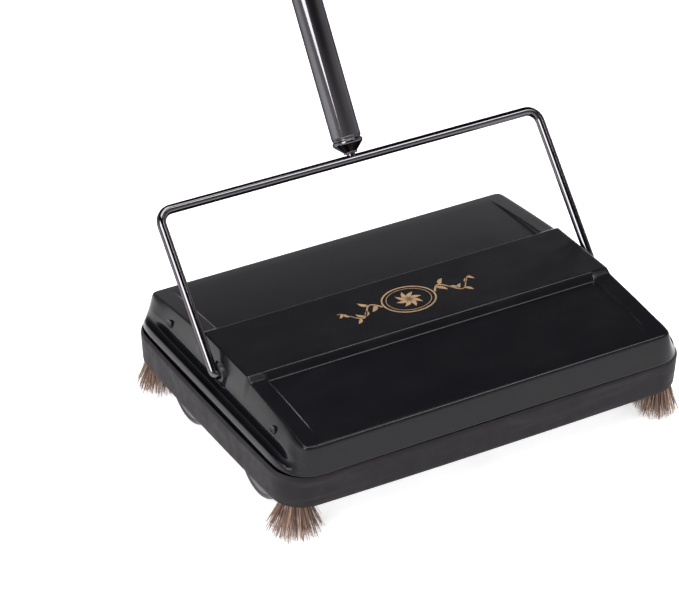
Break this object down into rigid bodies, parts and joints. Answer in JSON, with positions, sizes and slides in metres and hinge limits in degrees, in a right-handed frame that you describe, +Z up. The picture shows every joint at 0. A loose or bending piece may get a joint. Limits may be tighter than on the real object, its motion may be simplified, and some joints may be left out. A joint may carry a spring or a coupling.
{
  "type": "carpet sweeper",
  "caption": "Hand-pushed carpet sweeper: low steel case with a soft bumper, corner brushes, wheels that drive a bladed rotor, hinged dust pans and a long tube handle on a wire bail.",
  "frame": {"origin": "on the floor, under the middle of the case", "axes": "+X to the right across the sweeper, +Y to the rear, where the handle leans at rest, +Z up"},
  "size_m": [0.306, 0.7235, 0.9263],
  "materials": {
    "black_enamel": "stove-enamelled sheet steel, semi-gloss black",
    "bumper_vinyl": "soft vinyl, matte, very dark grey",
    "black_chrome": "polished black chrome on steel",
    "zinc_steel": "bright zinc plate, slightly dull",
    "black_plastic": "moulded, satin",
    "wheel_plastic": "moulded, matt dark grey",
    "rotor_plastic": "moulded, satin, fine ribs on the rings",
    "blade_rubber": "blue-black rubber, slightly dusty",
    "tread_rubber": "dark grey rubber",
    "horsehair": "loose brown bristle with light and dark strands"
  },
  "bodies": {
    "case": {"top_cover": "black_enamel", "bumper": "bumper_vinyl", "left_wheel_carrier": "zinc_steel", "right_wheel_carrier": "zinc_steel", "cover_rivets": "black_enamel", "front_left_axle": "zinc_steel", "front_right_axle": "zinc_steel", "rear_left_axle": "zinc_steel", "rear_right_axle": "zinc_steel", "axle_push_nuts": "zinc_steel", "left_rotor_bearing": "black_plastic", "right_rotor_bearing": "black_plastic", "front_pan_rod": "zinc_steel", "rear_pan_rod": "zinc_steel", "front_pan_spring": "zinc_steel", "rear_pan_spring": "zinc_steel", "left_bail_bushing": "black_plastic", "right_bail_bushing": "black_plastic", "front_left_brush_bracket": "zinc_steel", "front_right_brush_bracket": "zinc_steel", "rear_left_brush_bracket": "zinc_steel", "rear_right_brush_bracket": "zinc_steel", "front_left_brush": "horsehair", "front_right_brush": "horsehair", "rear_left_brush": "horsehair", "rear_right_brush": "horsehair"},
    "handle": {"bail": "black_chrome", "left_bail_clip": "zinc_steel", "right_bail_clip": "zinc_steel", "handle_stud": "black_chrome", "handle_ferrule": "black_chrome", "lower_tube": "black_chrome", "middle_tube": "black_chrome", "upper_tube": "black_chrome", "lower_coupling": "black_chrome", "upper_coupling": "black_chrome", "hanging_cap": "black_plastic"},
    "rotor": {"rotor_core": "rotor_plastic", "rotor_blades": "blade_rubber", "left_drive_ring": "rotor_plastic", "right_drive_ring": "rotor_plastic", "left_rotor_pin": "zinc_steel", "right_rotor_pin": "zinc_steel"},
    "front_left_wheel": {"front_left_hub": "wheel_plastic", "front_left_tyre": "tread_rubber"},
    "front_right_wheel": {"front_right_hub": "wheel_plastic", "front_right_tyre": "tread_rubber"},
    "rear_left_wheel": {"rear_left_hub": "wheel_plastic", "rear_left_tyre": "tread_rubber"},
    "rear_right_wheel": {"rear_right_hub": "wheel_plastic", "rear_right_tyre": "tread_rubber"},
    "front_pan": {"front_dust_pan": "zinc_steel"},
    "rear_pan": {"rear_dust_pan": "zinc_steel"}
  },
  "joints": [
    {"name": "handle_swing", "type": "hinge", "parent": "case", "child": "handle", "pos_m": [0, 0, 0.0644], "axis": [1, 0, 0], "range_deg": [-47, 126]},
    {"name": "rotor_spin", "type": "hinge", "parent": "case", "child": "rotor", "pos_m": [0, 0, 0.0332], "axis": [1, 0, 0], "continuous": true},
    {"name": "front_left_wheel_spin", "type": "hinge", "parent": "case", "child": "front_left_wheel", "pos_m": [-0.1334, -0.0478, 0.027], "axis": [1, 0, 0], "continuous": true},
    {"name": "front_right_wheel_spin", "type": "hinge", "parent": "case", "child": "front_right_wheel", "pos_m": [0.1334, -0.0478, 0.027], "axis": [1, 0, 0], "continuous": true},
    {"name": "rear_left_wheel_spin", "type": "hinge", "parent": "case", "child": "rear_left_wheel", "pos_m": [-0.1334, 0.0478, 0.027], "axis": [1, 0, 0], "continuous": true},
    {"name": "rear_right_wheel_spin", "type": "hinge", "parent": "case", "child": "rear_right_wheel", "pos_m": [0.1334, 0.0478, 0.027], "axis": [1, 0, 0], "continuous": true},
    {"name": "front_pan_open", "type": "hinge", "parent": "case", "child": "front_pan", "pos_m": [0, -0.094, 0.031], "axis": [-1, 0, 0], "range_deg": [0, 50], "stiffness_Nm_per_rad": 0.12, "springref_deg": -68.75, "deforming": ["front_pan_spring"]},
    {"name": "rear_pan_open", "type": "hinge", "parent": "case", "child": "rear_pan", "pos_m": [0, 0.094, 0.031], "axis": [1, 0, 0], "range_deg": [0, 50], "stiffness_Nm_per_rad": 0.12, "springref_deg": -68.75, "deforming": ["rear_pan_spring"]}
  ],
  "couplings": [
    {"joint": "front_left_wheel_spin", "follows": "rotor_spin", "ratio": -0.77407},
    {"joint": "front_right_wheel_spin", "follows": "rotor_spin", "ratio": -0.77407},
    {"joint": "rear_left_wheel_spin", "follows": "rotor_spin", "ratio": -0.77407},
    {"joint": "rear_right_wheel_spin", "follows": "rotor_spin", "ratio": -0.77407}
  ]
}
